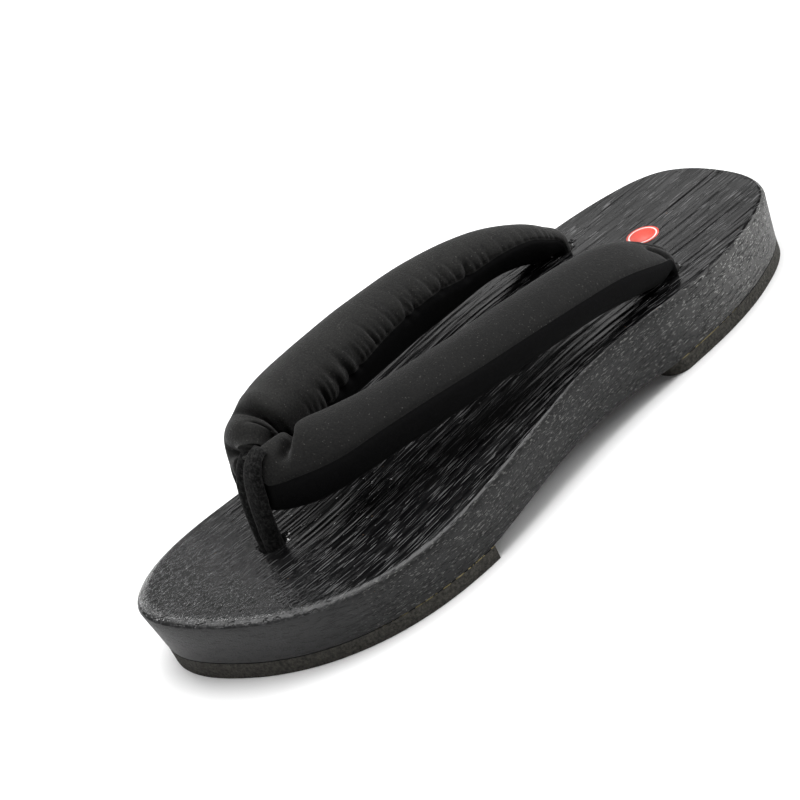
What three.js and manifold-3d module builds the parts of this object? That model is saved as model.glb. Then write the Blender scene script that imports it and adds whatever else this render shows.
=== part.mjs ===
// A geta: a low, foot-shaped wooden sandal for the left foot, with rubber walking pads
// and a stuffed cloth strap that a felt thong holds between the toes.
// Millimetres. +Z is up, the floor is z = 0, the toe points to -Y and the outer side of the foot is +X.
import * as THREE from 'three';
import { mergeVertices } from 'three/addons/utils/BufferGeometryUtils.js';
import Module from 'manifold-3d';

const wasm = await Module();
wasm.setup();

// Driving dimensions.
const LENGTH = 250;
const PAD_THICK = 5.3;
const RIM_ROUND = 2;
const RIM_STEPS = 3;
const TOE_RAKE = 2;
const HEEL_RAKE = 2.4;
const PAD_SETBACK = 0.4;
const ARCH_RISE = 3.7;
const FOREFOOT_PAD_END = -40;
const HEEL_PAD_FRONT = 46.7;
const HEEL_PAD_CORNER = 7;
const TOE_HOLE = { x: -8.6, y: -81.3, radius: 4.6 };
const OUTER_HOLE = { x: 23.9, y: 68.4, radius: 4.6 };
const INNER_HOLE = { x: -25.2, y: 65.8, radius: 4.6 };
const SEAT_GAP = 0.35;

// Fineness of the facets.
const OUTLINE_STATIONS = 44;
const HOLE_SIDES = 20;
const STRAP_SIDES = 18;
const THONG_SIDES = 14;
const RINGS_PER_ROW = 3;

// Outline of the wood seen from above: the outer and the inner edge at each place along the foot.
const TOE_TIP = { y: -LENGTH / 2, outer: -16.5, inner: -16.5 };
const HEEL_TIP = { y: LENGTH / 2, outer: 0.3, inner: 0.3 };
const OUTLINE = [
  TOE_TIP,
  { y: -118.7, outer: 3.4, inner: -32.1 },
  { y: -110.9, outer: 15.5, inner: -38.7 },
  { y: -101.2, outer: 25.9, inner: -43.1 },
  { y: -89.5, outer: 34.4, inner: -45.3 },
  { y: -77.9, outer: 40.0, inner: -45.5 },
  { y: -60.3, outer: 44.5, inner: -44.2 },
  { y: -43.8, outer: 45.5, inner: -42.6 },
  { y: -24.3, outer: 44.0, inner: -41.4 },
  { y: -4.9, outer: 41.3, inner: -40.6 },
  { y: 14.6, outer: 39.1, inner: -40.1 },
  { y: 34.1, outer: 38.3, inner: -40.0 },
  { y: 53.5, outer: 38.7, inner: -40.3 },
  { y: 73.0, outer: 38.3, inner: -40.2 },
  { y: 89.5, outer: 35.9, inner: -38.5 },
  { y: 101.2, outer: 32.4, inner: -35.9 },
  { y: 110.9, outer: 28.0, inner: -32.2 },
  { y: 118.7, outer: 21.6, inner: -25.7 },
  HEEL_TIP,
];

// Height of the footbed along the foot: sprung toe, low ball, raised waist, level heel.
const FOOTBED = [
  { y: -125, height: 25.2 },
  { y: -98, height: 21.4 },
  { y: -73, height: 20.0 },
  { y: -24.3, height: 23.4 },
  { y: 24.3, height: 27.0 },
  { y: 73, height: 24.6 },
  { y: 125, height: 23.0 },
];

// The two arms of the strap, each from its tail in a rear hole to the fold over the thong.
// A row is one section: its centre, its width and thickness, and where its cloth face looks,
// as a bearing in plan from +X and a rise above the level, both in degrees.
const OUTER_ARM = [
  { x: 23.9, y: 68.4, z: 9, wide: 7.4, thick: 7, bearing: 80, rise: 0 },
  { x: 23.9, y: 68.4, z: 25.8, wide: 7.8, thick: 7, bearing: 80, rise: 0 },
  { x: 24.2, y: 66.6, z: 29.3, wide: 12, thick: 9.5, bearing: 70, rise: 30 },
  { x: 24.8, y: 61, z: 32.6, wide: 17.5, thick: 12.5, bearing: 45, rise: 50 },
  { x: 25.2, y: 51, z: 37.3, wide: 20.5, thick: 15, bearing: 10, rise: 58 },
  { x: 25, y: 36, z: 41, wide: 21.5, thick: 16.5, bearing: 0, rise: 64 },
  { x: 23, y: 12, z: 43, wide: 21.5, thick: 17.5, bearing: 0, rise: 68 },
  { x: 18.8, y: -12, z: 43, wide: 21.5, thick: 18, bearing: 0, rise: 66 },
  { x: 12.5, y: -35, z: 42.4, wide: 22, thick: 18, bearing: -5, rise: 58 },
  { x: 4.5, y: -54, z: 41.2, wide: 23.5, thick: 17, bearing: -10, rise: 42 },
  { x: -2, y: -65, z: 40, wide: 23.5, thick: 14, bearing: -25, rise: 26 },
  { x: -7, y: -71.8, z: 39.8, wide: 20.5, thick: 9, bearing: -45, rise: 16 },
];
const INNER_ARM = [
  { x: -25.2, y: 65.8, z: 9, wide: 7.4, thick: 7, bearing: 100, rise: 0 },
  { x: -25.2, y: 65.8, z: 26, wide: 7.8, thick: 7, bearing: 100, rise: 0 },
  { x: -25.3, y: 64.2, z: 29.3, wide: 11.5, thick: 9, bearing: 105, rise: 28 },
  { x: -26, y: 58.6, z: 32.2, wide: 16.5, thick: 12, bearing: 135, rise: 50 },
  { x: -27, y: 50, z: 37, wide: 20, thick: 14.5, bearing: 165, rise: 62 },
  { x: -28.6, y: 37, z: 42, wide: 21.5, thick: 16.5, bearing: 180, rise: 74 },
  { x: -29.6, y: 15, z: 45.4, wide: 22.5, thick: 18.8, bearing: 180, rise: 84 },
  { x: -28.6, y: -12, z: 47.4, wide: 23, thick: 20, bearing: 180, rise: 92 },
  { x: -24.6, y: -38, z: 48.9, wide: 23.5, thick: 20.4, bearing: 180, rise: 94 },
  { x: -21.2, y: -56, z: 49.8, wide: 23.5, thick: 19, bearing: 185, rise: 82 },
  { x: -20.2, y: -66.3, z: 47, wide: 24, thick: 15.8, bearing: 205, rise: 48 },
  { x: -14.6, y: -73.4, z: 42.4, wide: 23, thick: 12, bearing: 242, rise: 22 },
  { x: -8.4, y: -75, z: 41.4, wide: 21, thick: 9, bearing: 272, rise: 16 },
  { x: -3, y: -70, z: 40.6, wide: 18, thick: 7, bearing: 305, rise: 20 },
];

// The felt thong, from the bottom of its hole up to the fold of the strap.
const THONG = [
  { x: -8.6, y: -81.3, z: 8, wide: 7, thick: 6.2, bearing: -70, rise: 0 },
  { x: -8.6, y: -81.3, z: 19, wide: 7.2, thick: 6.2, bearing: -70, rise: 0 },
  { x: -8.6, y: -80.6, z: 27, wide: 8.4, thick: 5.4, bearing: -70, rise: 5 },
  { x: -8.6, y: -78.6, z: 38, wide: 10.2, thick: 4.6, bearing: -70, rise: 12 },
  { x: -8.6, y: -75.2, z: 50.4, wide: 10, thick: 4.4, bearing: -70, rise: 16 },
];

const radians = THREE.MathUtils.degToRad;

// A smooth curve through the rows of a table: gives the named columns at any place along it.
function smoothTable(rows, key, columns) {
  const keys = rows.map((row) => row[key]);
  const values = rows.flatMap((row) => columns.map((column) => row[column]));
  const spline = new THREE.CubicInterpolant(keys, values, columns.length);
  return (place) => {
    const found = spline.evaluate(place);
    return Object.fromEntries(columns.map((column, i) => [column, found[i]]));
  };
}

const footbed = smoothTable(FOOTBED, 'y', ['height']);

// Underside of the wood: flat over both pads, with one long hollow under the waist between them.
function underside(y) {
  const share = THREE.MathUtils.clamp((y - FOREFOOT_PAD_END) / (HEEL_PAD_FRONT - FOREFOOT_PAD_END), 0, 1);
  return PAD_THICK + ARCH_RISE * Math.sin(Math.PI * share);
}

// A place along the foot as an angle, so that the outline turns round smoothly at toe and heel.
const angleAt = (y) => Math.acos((-2 * y) / LENGTH);
const outlineRows = OUTLINE.map((row) => ({ ...row, angle: angleAt(row.y) }));
const edges = smoothTable(outlineRows, 'angle', ['outer', 'inner']);

// Points of the outline between two places along the foot, as pairs of one outer and one inner point.
function outlinePairs(from, to, count) {
  const pairs = [];
  for (let i = 0; i <= count; i++) {
    const angle = THREE.MathUtils.lerp(angleAt(from), angleAt(to), i / count);
    const y = (-LENGTH / 2) * Math.cos(angle);
    const { outer, inner } = edges(angle);
    pairs.push({ outer: new THREE.Vector2(outer, y), inner: new THREE.Vector2(inner, y) });
  }
  return pairs;
}

// The closed outline of the wood: toe tip, outer side, heel tip, inner side.
function woodOutline() {
  const pairs = outlinePairs(-LENGTH / 2, LENGTH / 2, OUTLINE_STATIONS);
  const innerBack = pairs.slice(1, -1).map((pair) => pair.inner).reverse();
  return [...pairs.map((pair) => pair.outer), ...innerBack];
}

// Moves each point of a closed outline inwards by a distance that may depend on the outward normal.
function inset(outline, distance) {
  return outline.map((point, i) => {
    const before = outline[(i + outline.length - 1) % outline.length];
    const after = outline[(i + 1) % outline.length];
    const along = after.clone().sub(before).normalize();
    const outward = new THREE.Vector2(along.y, -along.x);
    return point.clone().addScaledVector(outward, -distance(outward));
  });
}

// The wall leans in towards the floor at the toe and at the heel.
function rake(outward) {
  const toe = Math.max(0, -outward.y) ** 2 * TOE_RAKE;
  const heel = Math.max(0, outward.y) ** 2 * HEEL_RAKE;
  return toe + heel;
}

// A closed mesh from rings of points: sides between the rings, then a given cover on each end.
function ringsToGeometry(rings, cover) {
  const count = rings[0].length;
  const corners = [];
  for (let ring = 0; ring + 1 < rings.length; ring++) {
    for (let i = 0; i < count; i++) {
      const next = (i + 1) % count;
      const low = ring * count;
      const high = low + count;
      corners.push(low + i, low + next, high + next);
      corners.push(low + i, high + next, high + i);
    }
  }
  const top = (rings.length - 1) * count;
  for (const [a, b, c] of cover(count)) {
    corners.push(c, b, a);
    corners.push(top + a, top + b, top + c);
  }
  const geometry = new THREE.BufferGeometry();
  geometry.setFromPoints(rings.flat());
  geometry.setIndex(corners);
  return geometry;
}

// Covers an outline by rungs from its outer to its inner side, so that it bends cleanly along the foot.
function rungCover(count) {
  const half = count / 2;
  const triangles = [[0, 1, count - 1], [half - 1, half, half + 1]];
  for (let i = 1; i < half - 1; i++) {
    triangles.push([i, i + 1, count - i]);
    triangles.push([i + 1, count - i - 1, count - i]);
  }
  return triangles;
}

// Covers a convex ring by a fan from its first point.
function fanCover(count) {
  const triangles = [];
  for (let i = 1; i + 1 < count; i++) {
    triangles.push([0, i, i + 1]);
  }
  return triangles;
}

// Solids for joining and cutting.
function toSolid(geometry) {
  const bare = geometry.clone();
  bare.deleteAttribute('normal');
  bare.deleteAttribute('uv');
  const merged = mergeVertices(bare, 1e-4);
  const vertProperties = new Float32Array(merged.attributes.position.array);
  const triVerts = new Uint32Array(merged.index.array);
  return new wasm.Manifold(new wasm.Mesh({ numProp: 3, vertProperties, triVerts }));
}

function toGeometry(solid) {
  const mesh = solid.getMesh();
  const geometry = new THREE.BufferGeometry();
  geometry.setAttribute('position', new THREE.BufferAttribute(mesh.vertProperties, 3));
  geometry.setIndex(new THREE.BufferAttribute(mesh.triVerts, 1));
  return geometry;
}

// A straight hole down through the wood.
function holeSolid(hole) {
  const depth = 2 * LENGTH;
  const drill = new THREE.CylinderGeometry(hole.radius, hole.radius, depth, HOLE_SIDES);
  drill.rotateX(Math.PI / 2);
  drill.translate(hole.x, hole.y, 0);
  return toSolid(drill);
}

function woodGeometry() {
  const outline = woodOutline();
  const onUnderside = (p) => new THREE.Vector3(p.x, p.y, underside(p.y));
  const rings = [inset(outline, rake).map(onUnderside)];
  for (let step = 0; step <= RIM_STEPS; step++) {
    const turn = (Math.PI / 2) * (step / RIM_STEPS);
    const inward = RIM_ROUND * (1 - Math.cos(turn));
    const drop = RIM_ROUND * (1 - Math.sin(turn));
    const ring = inset(outline, () => inward);
    rings.push(ring.map((p) => new THREE.Vector3(p.x, p.y, footbed(p.y).height - drop)));
  }
  const block = toSolid(ringsToGeometry(rings, rungCover));
  const holes = [TOE_HOLE, OUTER_HOLE, INNER_HOLE].map(holeSolid);
  return toGeometry(holes.reduce((wood, hole) => wood.subtract(hole), block));
}

// A pad is an upright slab under the wood, on the wood's own outline.
function padGeometry(points) {
  const shape = new THREE.Shape(points);
  return new THREE.ExtrudeGeometry(shape, { depth: PAD_THICK, bevelEnabled: false });
}

function padEdge(outward) {
  return rake(outward) + PAD_SETBACK * Math.max(0, -outward.y);
}

function forefootPadGeometry() {
  const edge = inset(woodOutline(), padEdge);
  const inFront = (p) => p.y < FOREFOOT_PAD_END - 1;
  const outerSide = edge.slice(0, OUTLINE_STATIONS).filter(inFront);
  const innerSide = edge.slice(OUTLINE_STATIONS).filter(inFront);
  const [end] = outlinePairs(FOREFOOT_PAD_END, FOREFOOT_PAD_END, 1);
  return padGeometry([...outerSide, end.outer, end.inner, ...innerSide]);
}

function heelPadGeometry() {
  const edge = inset(woodOutline(), padEdge);
  const back = edge.filter((p) => p.y > HEEL_PAD_FRONT + HEEL_PAD_CORNER + 1);
  const [corner] = outlinePairs(HEEL_PAD_FRONT + HEEL_PAD_CORNER, HEEL_PAD_FRONT, 1);
  const turnIn = HEEL_PAD_CORNER;
  const outerCentre = new THREE.Vector2(corner.outer.x - turnIn, HEEL_PAD_FRONT + turnIn);
  const innerCentre = new THREE.Vector2(corner.inner.x + turnIn, HEEL_PAD_FRONT + turnIn);
  const shape = new THREE.Shape();
  shape.absarc(innerCentre.x, innerCentre.y, turnIn, Math.PI, 1.5 * Math.PI);
  shape.absarc(outerCentre.x, outerCentre.y, turnIn, 1.5 * Math.PI, 2 * Math.PI);
  const corners = shape.getPoints(5);
  return padGeometry([...corners, ...back]);
}

// A stuffed tube through the rows of a table: a full oval section at each row, closed at both ends.
function stuffedTube(rows, sides, spread) {
  const path = new THREE.CatmullRomCurve3(rows.map((row) => new THREE.Vector3(row.x, row.y, row.z)));
  const numbered = rows.map((row, i) => ({ ...row, order: i }));
  const section = smoothTable(numbered, 'order', ['wide', 'thick', 'bearing', 'rise']);
  const steps = (rows.length - 1) * RINGS_PER_ROW;
  const rings = [];
  for (let step = 0; step <= steps; step++) {
    const along = step / steps;
    const centre = path.getPoint(along);
    const ahead = path.getTangent(along);
    const { wide, thick, bearing, rise } = section(along * (rows.length - 1));
    const level = Math.cos(radians(rise));
    const face = new THREE.Vector3(
      level * Math.cos(radians(bearing)),
      level * Math.sin(radians(bearing)),
      Math.sin(radians(rise)),
    );
    face.addScaledVector(ahead, -face.dot(ahead)).normalize();
    const across = new THREE.Vector3().crossVectors(face, ahead);
    const ring = [];
    for (let i = 0; i < sides; i++) {
      const turn = (2 * Math.PI * i) / sides;
      const point = centre.clone();
      point.addScaledVector(across, (wide / 2 + spread) * Math.cos(turn));
      point.addScaledVector(face, (thick / 2 + spread) * Math.sin(turn));
      ring.push(point);
    }
    rings.push(ring);
  }
  return ringsToGeometry(rings, fanCover);
}

// The two arms are one upper, joined at the fold, and leave room for the thong.
function strapGeometry() {
  const outerArm = toSolid(stuffedTube(OUTER_ARM, STRAP_SIDES, 0));
  const innerArm = toSolid(stuffedTube(INNER_ARM, STRAP_SIDES, 0));
  const seat = toSolid(stuffedTube(THONG, THONG_SIDES, SEAT_GAP));
  return toGeometry(outerArm.add(innerArm).subtract(seat));
}

const blackLacquer = { color: 0x1b1b1c, roughness: 0.45, metalness: 0 };
const foamRubber = { color: 0x2a2724, roughness: 0.95, metalness: 0 };
const strapCloth = { color: 0x2f2f2e, roughness: 0.9, metalness: 0 };
const blackFelt = { color: 0x1f1f1f, roughness: 1, metalness: 0 };

function piece(name, geometry, finish) {
  const mesh = new THREE.Mesh(geometry, new THREE.MeshStandardMaterial(finish));
  mesh.name = name;
  return mesh;
}

const geta = new THREE.Group();
geta.add(piece('wood_base', woodGeometry(), blackLacquer));
geta.add(piece('forefoot_pad', forefootPadGeometry(), foamRubber));
geta.add(piece('heel_pad', heelPadGeometry(), foamRubber));
geta.add(piece('strap_upper', strapGeometry(), strapCloth));
geta.add(piece('toe_thong', stuffedTube(THONG, THONG_SIDES, 0), blackFelt));

export default geta;
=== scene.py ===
import math

import bmesh
import bpy
import numpy as np
from mathutils import Matrix, Vector, noise


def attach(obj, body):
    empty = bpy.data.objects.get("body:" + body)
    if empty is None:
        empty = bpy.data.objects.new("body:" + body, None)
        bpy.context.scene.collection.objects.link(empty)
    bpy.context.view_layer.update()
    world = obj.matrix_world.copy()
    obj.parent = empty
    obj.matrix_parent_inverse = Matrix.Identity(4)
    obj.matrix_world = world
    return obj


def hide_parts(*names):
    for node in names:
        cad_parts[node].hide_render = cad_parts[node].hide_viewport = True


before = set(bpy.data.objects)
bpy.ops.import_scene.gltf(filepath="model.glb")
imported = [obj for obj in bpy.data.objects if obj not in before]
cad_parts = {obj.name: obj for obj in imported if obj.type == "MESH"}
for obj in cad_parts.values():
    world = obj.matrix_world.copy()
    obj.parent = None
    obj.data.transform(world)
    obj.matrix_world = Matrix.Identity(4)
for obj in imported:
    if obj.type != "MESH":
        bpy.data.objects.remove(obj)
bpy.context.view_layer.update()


# Wood base: one foot-shaped block of light wood, sawn to shape, hollowed under the waist and sanded.
# Its top is brushed along the grain, so that the hard lines stand proud, and it is lacquered black.
MM = 0.001
SOLE_LENGTH = 250
PAD_THICK = 5.3
ARCH_RISE = 3.7
FOREFOOT_PAD_END = -40
HEEL_PAD_FRONT = 46.7
RIM_ROUND = 2
RIM_STEPS = 6
TOE_ROLL = 1.6
TOE_LIFT = 1.6
TOE_LIFT_FROM = -85
TOE_LIFT_RUN = 35
TOE_RAKE = 2
HEEL_RAKE = 2.4
EDGE_STATIONS = 96
RUNG_STEP = 3
GRAIN_STEP = 0.42
GRAIN_WIDTH = 1.5
GRAIN_RUN = 42
GRAIN_DEPTH = 0.12
GRAIN_LEVEL = 0.35
BROAD_SHARE = 1.1
FINE_SHARE = 0.6
FINE_WIDTH = 0.75
FINE_RUN = 16.8
GRAIN_SWAY = 1.6
SWAY_WIDTH = 30
SWAY_RUN = 70
HOLE_SIDES = 40
TOE_HOLE = (-8.6, -81.3, 4.6)
OUTER_HOLE = (23.9, 68.4, 4.6)
INNER_HOLE = (-25.2, 65.8, 4.6)

# Axes of a cut, and how near two points are one. Metres.
ACROSS = 0
ALONG = 1
TOUCH = 1e-7

# Plan of the wood: place along the foot, outer edge, inner edge.
WOOD_EDGE = [
    (-125, -16.5, -16.5),
    (-118.7, 3.4, -32.1),
    (-110.9, 15.5, -38.7),
    (-101.2, 25.9, -43.1),
    (-89.5, 34.4, -45.3),
    (-77.9, 40.0, -45.5),
    (-60.3, 44.5, -44.2),
    (-43.8, 45.5, -42.6),
    (-24.3, 44.0, -41.4),
    (-4.9, 41.3, -40.6),
    (14.6, 39.1, -40.1),
    (34.1, 38.3, -40.0),
    (53.5, 38.7, -40.3),
    (73.0, 38.3, -40.2),
    (89.5, 35.9, -38.5),
    (101.2, 32.4, -35.9),
    (110.9, 28.0, -32.2),
    (118.7, 21.6, -25.7),
    (125, 0.3, 0.3),
]

# Height of the footbed along the foot.
FOOTBED = [(-125, 25.2), (-98, 21.4), (-73, 20.0), (-24.3, 23.4), (24.3, 27.0), (73, 24.6), (125, 23.0)]


def smooth_rows(rows):
    """A smooth curve through the rows of a table, read by the table's first column."""
    table = np.array(rows, float)
    keys, values = table[:, 0], table[:, 1:]
    slopes = np.gradient(values, keys, axis=0, edge_order=2)

    def read(place):
        place = min(max(place, keys[0]), keys[-1])
        row = min(max(int(np.searchsorted(keys, place)) - 1, 0), len(keys) - 2)
        span = keys[row + 1] - keys[row]
        t = (place - keys[row]) / span
        leaving = (1 + 2 * t) * (1 - t) ** 2 * values[row] + t * (1 - t) ** 2 * span * slopes[row]
        arriving = t * t * (3 - 2 * t) * values[row + 1] - t * t * (1 - t) * span * slopes[row + 1]
        return leaving + arriving

    return read


def outline_turn(y):
    """A place along the foot as an angle, so that the outline runs round toe and heel smoothly."""
    return math.acos(-2 * y / SOLE_LENGTH)


footbed_rows = smooth_rows(FOOTBED)
edge_rows = smooth_rows([(outline_turn(y), outer, inner) for y, outer, inner in WOOD_EDGE])


def footbed(y):
    return float(footbed_rows(y)[0])


def underside(y):
    share = (y - FOREFOOT_PAD_END) / (HEEL_PAD_FRONT - FOREFOOT_PAD_END)
    at_toe = min(max((TOE_LIFT_FROM - y) / TOE_LIFT_RUN, 0), 1)
    return PAD_THICK + ARCH_RISE * math.sin(math.pi * min(max(share, 0), 1)) + TOE_LIFT * at_toe ** 2


def wood_outline():
    """Points round the plan of the wood: toe tip, outer side, heel tip, inner side."""
    turns = [math.pi * i / EDGE_STATIONS for i in range(EDGE_STATIONS + 1)]
    places = [-SOLE_LENGTH / 2 * math.cos(turn) for turn in turns]
    outer_side = [Vector((edge_rows(turn)[0], y)) for turn, y in zip(turns, places)]
    inner_side = [Vector((edge_rows(turn)[1], y)) for turn, y in zip(turns, places)]
    return outer_side + inner_side[-2:0:-1]


def pulled_in(outline, distance):
    """The outline moved inwards by a distance that may depend on which way the edge looks."""
    moved = []
    for i, point in enumerate(outline):
        along = (outline[(i + 1) % len(outline)] - outline[i - 1]).normalized()
        outward = Vector((along.y, -along.x))
        moved.append(point - outward * distance(outward))
    return moved


def rake(outward):
    """How far the foot of the wall leans in, at the toe and at the heel."""
    return max(0, -outward.y) ** 2 * TOE_RAKE + max(0, outward.y) ** 2 * HEEL_RAKE


def add_ring(mesh, points, height):
    """A closed ring of edges through plan points, each at its own height. Millimetres."""
    ring = [mesh.verts.new((p.x * MM, p.y * MM, height(p.y) * MM)) for p in points]
    return [mesh.edges.new((ring[i - 1], ring[i])) for i in range(len(ring))]


def ring_corners(ring):
    """The points of a ring in order round it."""
    return [edge.verts[1] for edge in ring]


def cut_in_strips(mesh, face, axis, low, high, step):
    """Cuts a face, or the parts of an earlier cut, into strips by planes square to an axis. Millimetres."""
    normal = Vector((0, 0, 0))
    normal[axis] = 1
    parts = list({*face.verts, *face.edges, face}) if isinstance(face, bmesh.types.BMFace) else face
    for i in range(1, int((high - low) / step)):
        cut = bmesh.ops.bisect_plane(
            mesh, geom=parts, dist=TOUCH, plane_co=normal * (low + i * step) * MM, plane_no=normal)
        parts = cut["geom"]
    return parts


def to_object(name, mesh, smooth=True):
    """A finished bmesh as an object at the origin."""
    bmesh.ops.recalc_face_normals(mesh, faces=mesh.faces[:])
    data = bpy.data.meshes.new(name)
    mesh.to_mesh(data)
    mesh.free()
    for polygon in data.polygons:
        polygon.use_smooth = smooth
    piece = bpy.data.objects.new(name, data)
    bpy.context.scene.collection.objects.link(piece)
    return piece


def settle(piece):
    """Applies the piece's modifiers to its mesh."""
    graph = bpy.context.evaluated_depsgraph_get()
    done = bpy.data.meshes.new_from_object(piece.evaluated_get(graph))
    piece.modifiers.clear()
    piece.data = done


def grain_relief(x, y):
    """Height of the brushed grain at a place on the footbed, 0 in the grooves and 1 on the lines.
    The last coordinate of each noise only makes the three unlike."""
    swayed = x + GRAIN_SWAY * noise.noise(Vector((x / SWAY_WIDTH, y / SWAY_RUN, 3)))
    broad = noise.noise(Vector((swayed / GRAIN_WIDTH, y / GRAIN_RUN, 0)))
    fine = noise.noise(Vector((swayed / FINE_WIDTH, y / FINE_RUN, 9)))
    return min(max(GRAIN_LEVEL + BROAD_SHARE * broad + FINE_SHARE * fine, 0), 1)


wood_mesh = bmesh.new()
plan = wood_outline()
rings = [add_ring(wood_mesh, pulled_in(plan, rake), underside)]
for step in range(RIM_STEPS + 1):
    turn = math.pi / 2 * step / RIM_STEPS
    inward = RIM_ROUND * (1 - math.cos(turn))
    drop = RIM_ROUND * (1 - math.sin(turn))
    rings.append(add_ring(
        wood_mesh, pulled_in(plan, lambda outward: inward * (1 + TOE_ROLL * max(0, -outward.y))),
        lambda y: footbed(y) - drop))
for low_ring, high_ring in zip(rings, rings[1:]):
    bmesh.ops.bridge_loops(wood_mesh, edges=low_ring + high_ring)
sole_face = wood_mesh.faces.new(ring_corners(rings[0]))
top_face = wood_mesh.faces.new(ring_corners(rings[-1]))
half_long = SOLE_LENGTH / 2
cut_in_strips(wood_mesh, sole_face, ALONG, -half_long, half_long, RUNG_STEP)
rungs = cut_in_strips(wood_mesh, top_face, ALONG, -half_long, half_long, RUNG_STEP)
half_wide = max(max(outer, -inner) for _, outer, inner in WOOD_EDGE)
brushed = cut_in_strips(wood_mesh, rungs, ACROSS, -half_wide, half_wide, GRAIN_STEP)
for corner in {part for part in brushed if isinstance(part, bmesh.types.BMVert)}:
    place = corner.co / MM
    corner.co.z += (grain_relief(place.x, place.y) - 1) * GRAIN_DEPTH * MM
wood = to_object("lacquered_wood", wood_mesh)

drills = bmesh.new()
for x, y, radius in (TOE_HOLE, OUTER_HOLE, INNER_HOLE):
    bmesh.ops.create_cone(
        drills, cap_ends=True, segments=HOLE_SIDES, radius1=radius * MM, radius2=radius * MM,
        depth=SOLE_LENGTH * MM, matrix=Matrix.Translation((x * MM, y * MM, 0)))
drill_set = to_object("drills", drills)
boring = wood.modifiers.new("boring", "BOOLEAN")
boring.operation = "DIFFERENCE"
boring.object = drill_set
settle(wood)
bpy.data.objects.remove(drill_set)
below_top = wood.data.attributes.new("below_top", "FLOAT", "POINT")
for corner, mark in zip(wood.data.vertices, below_top.data):
    mark.value = footbed(corner.co.y / MM) - corner.co.z / MM


def new_finish(name):
    """An empty material: the material, its node tree and its shader."""
    finish = bpy.data.materials.new(name)
    finish.use_nodes = True
    return finish, finish.node_tree, finish.node_tree.nodes["Principled BSDF"]


def add_node(tree, kind, feeds=None, **options):
    """One shader node. Feeds are its inputs, as values or as sockets of other nodes."""
    node = tree.nodes.new("ShaderNode" + kind)
    for name, value in options.items():
        setattr(node, name, value)
    for name, value in (feeds or {}).items():
        if isinstance(value, bpy.types.NodeSocket):
            tree.links.new(value, node.inputs[name])
        else:
            node.inputs[name].default_value = value
    return node


def streaks(tree, size, seed=0.0, detail=3.0, roughness=0.6):
    """A noise pattern on the piece's own coordinates, with one size in millimetres for each axis."""
    place = add_node(tree, "TexCoord").outputs["Object"]
    scale = [1 / (side * MM) for side in size]
    mapped = add_node(tree, "Mapping", {"Vector": place, "Scale": scale, "Location": (seed,) * 3})
    pattern = add_node(tree, "TexNoise", {
        "Vector": mapped.outputs["Vector"], "Scale": 1.0, "Detail": detail, "Roughness": roughness})
    return pattern.outputs["Fac"]


def remap(tree, value, from_low, from_high, to_low=0.0, to_high=1.0):
    """The value stretched from one range to another, and held at its ends."""
    return add_node(tree, "MapRange", {
        "Value": value, "From Min": from_low, "From Max": from_high,
        "To Min": to_low, "To Max": to_high}).outputs["Result"]


def marks(tree, size, seed, detail, nothing, full):
    """A noise pattern cut to marks: 0 up to the first limit of the noise, 1 from the second."""
    return remap(tree, streaks(tree, size, seed, detail), nothing, full)


def combine(tree, operation, a, b):
    """Two values put together by one step of arithmetic."""
    return add_node(tree, "Math", {0: a, 1: b}, operation=operation).outputs[0]


def blend_colours(tree, share, first, second):
    """From the first colour to the second by a share."""
    return add_node(tree, "Mix", {0: share, 6: first, 7: second}, data_type="RGBA").outputs[2]


def blend_values(tree, share, first, second):
    """From the first value to the second by a share."""
    return add_node(tree, "Mix", {0: share, 2: first, 3: second}, data_type="FLOAT").outputs[0]


LACQUER_BLACK = (0.002, 0.002, 0.0022, 1)
LACQUER_GREY_AND_HIGHLIGHT = (0.075, 0.075, 0.076, 1)
RUBBED_AND_HIGHLIGHT_GREY = (0.05, 0.05, 0.051, 1)
SIDE_GREY = (0.006, 0.006, 0.0061, 1)
HEEL_LIT_GREY = (0.058, 0.0575, 0.056, 1)
TOE_REFLECTION_GREY = (0.020, 0.020, 0.0205, 1)
GLINT_GREY = (0.11, 0.11, 0.105, 1)
HEEL_GLINT = (0.26, 0.26, 0.25, 1)
BARE_BROWN = (0.10, 0.055, 0.025, 1)

# Marks in the lacquer, and painted highlights: size across, along and up in millimetres, seed, detail,
# and the two limits of the noise. The marks of the top run through the wood, the same at every height.
# The dashes and the toe speckle of the top and the flecks of the walls are painted glints of light.
THROUGH = 900
LINES = ((1.6, 34, THROUGH), 0.0, 2.0, 0.48, 0.62)
HIGHLIGHT_DASHES = ((0.6, 9, THROUGH), 5.0, 1.0, 0.585, 0.635)
BANDS = ((7, 60, THROUGH), 29.0, 2.0, 0.40, 0.58)
SPECKLE = ((0.6, 2.4, THROUGH), 41.0, 2.0, 0.40, 0.66)
PORES = ((2.5, 5, 0.75), 11.0, 2.0, 0.54, 0.62)
STIPPLE = ((1.1, 2.0, 0.8), 13.0, 2.0, 0.47, 0.56)
GLINT_FLECKS = ((0.55, 1.7, 0.42), 37.0, 1.0, 0.60, 0.68)
CHIPS = ((1.2, 1.8, 1.2), 31.0, 3.0, 0.48, 0.6)
SPECKS = ((0.9, 2.2, 0.9), 21.0, 2.0, 0.76, 0.79)
GRIT_SIZE = (0.6, 1.0, 0.6)

# Where the finish changes: places along the foot, and depths below the footbed.
TOE_SPAN = (-72 * MM, -104 * MM)
HEEL_SPAN = (48 * MM, 84 * MM)
TOP_SPAN = (0.5, 0.22)
RIM_UPPER_SPAN = (0.25, 0.6)
RIM_LOWER_SPAN = (2.0, 1.4)

# Where the walls change, by the way they look along the foot: -1 is the toe and 1 is the heel.
END_GRAIN_SPAN = (0.25, 0.7)
SANDED_SPAN = (-0.2, -0.6)
GLINT_SPAN = (-0.2, -0.5)

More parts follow.
